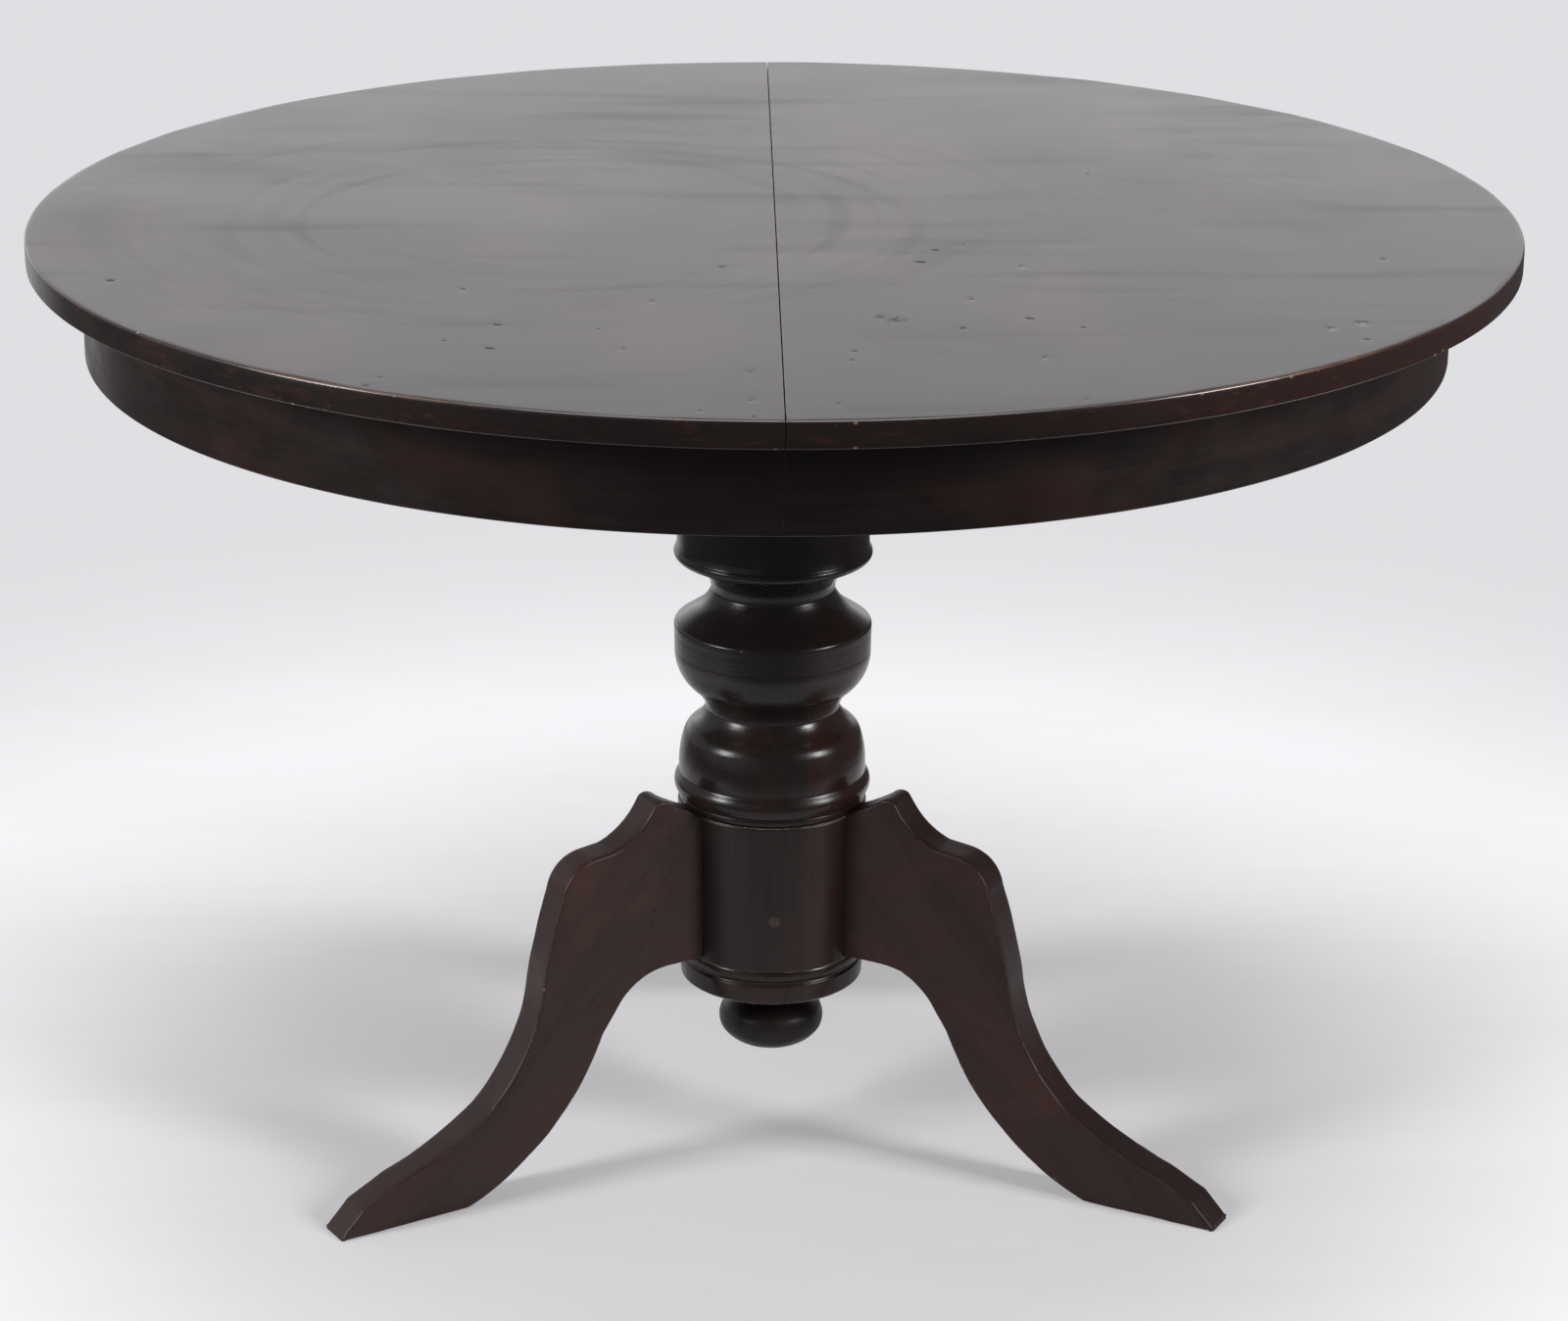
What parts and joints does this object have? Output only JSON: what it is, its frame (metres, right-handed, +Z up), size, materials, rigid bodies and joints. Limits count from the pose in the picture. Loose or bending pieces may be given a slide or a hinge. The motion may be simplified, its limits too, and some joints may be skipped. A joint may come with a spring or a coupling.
{
  "type": "pedestal dining table",
  "caption": "Round dining table: two half leaves with a bent apron slide apart on wooden slides over a turned column with three curved flat legs.",
  "frame": {"origin": "on the floor under the column's axis", "axes": "+Z up, +X along the way the right leaf slides out, the seam along Y, the back leg about a degree from +Y"},
  "size_m": [1.1098, 1.11, 0.75],
  "materials": {
    "top_wood": "dark mahogany stain, semi-gloss, worn",
    "apron_wood": "dark reddish brown stain, semi-gloss",
    "turned_wood": "near-black mahogany stain, glossy",
    "leg_wood": "reddish brown stain, semi-gloss",
    "slide_wood": "bare hardwood, waxed",
    "inner_wood": "bare hardwood",
    "dowel_wood": "bare beech",
    "screw_steel": "zinc plated",
    "latch_steel": "brass plated steel, dull"
  },
  "bodies": {
    "pedestal": {"column": "turned_wood", "hub": "turned_wood", "base_ring": "turned_wood", "finial": "turned_wood", "leg_left": "leg_wood", "leg_right": "leg_wood", "leg_back": "leg_wood", "leg_dowels": "dowel_wood", "leg_screws": "screw_steel", "screw_plugs": "turned_wood", "head_board": "inner_wood", "head_screws": "screw_steel", "bearer_front": "slide_wood", "bearer_back": "slide_wood", "cross_bar_left": "inner_wood", "cross_bar_right": "inner_wood", "bearer_screws": "screw_steel"},
    "left_leaf": {"leaf_left": "top_wood", "apron_left": "apron_wood", "glue_blocks_left": "inner_wood", "runner_left_front": "slide_wood", "runner_left_back": "slide_wood", "runner_screws_left": "screw_steel", "seam_pins": "dowel_wood", "latch_plates": "latch_steel", "latch_screws": "screw_steel"},
    "right_leaf": {"leaf_right": "top_wood", "apron_right": "apron_wood", "glue_blocks_right": "inner_wood", "runner_right_front": "slide_wood", "runner_right_back": "slide_wood", "runner_screws_right": "screw_steel", "strikers": "latch_steel", "striker_screws": "screw_steel"},
    "latch_front": {"latch_lever_front": "latch_steel"},
    "latch_back": {"latch_lever_back": "latch_steel"}
  },
  "joints": [
    {"name": "left_slide", "type": "slide", "parent": "pedestal", "child": "left_leaf", "axis": [-1, 0, 0], "range_m": [0, 0.23]},
    {"name": "right_slide", "type": "slide", "parent": "pedestal", "child": "right_leaf", "axis": [1, 0, 0], "range_m": [0, 0.23]},
    {"name": "latch_front_turn", "type": "hinge", "parent": "left_leaf", "child": "latch_front", "pos_m": [-0.03, -0.3, 0.727], "axis": [0, 0, 1], "range_deg": [0, 90]},
    {"name": "latch_back_turn", "type": "hinge", "parent": "left_leaf", "child": "latch_back", "pos_m": [-0.03, 0.3, 0.727], "axis": [0, 0, -1], "range_deg": [0, 90]}
  ]
}
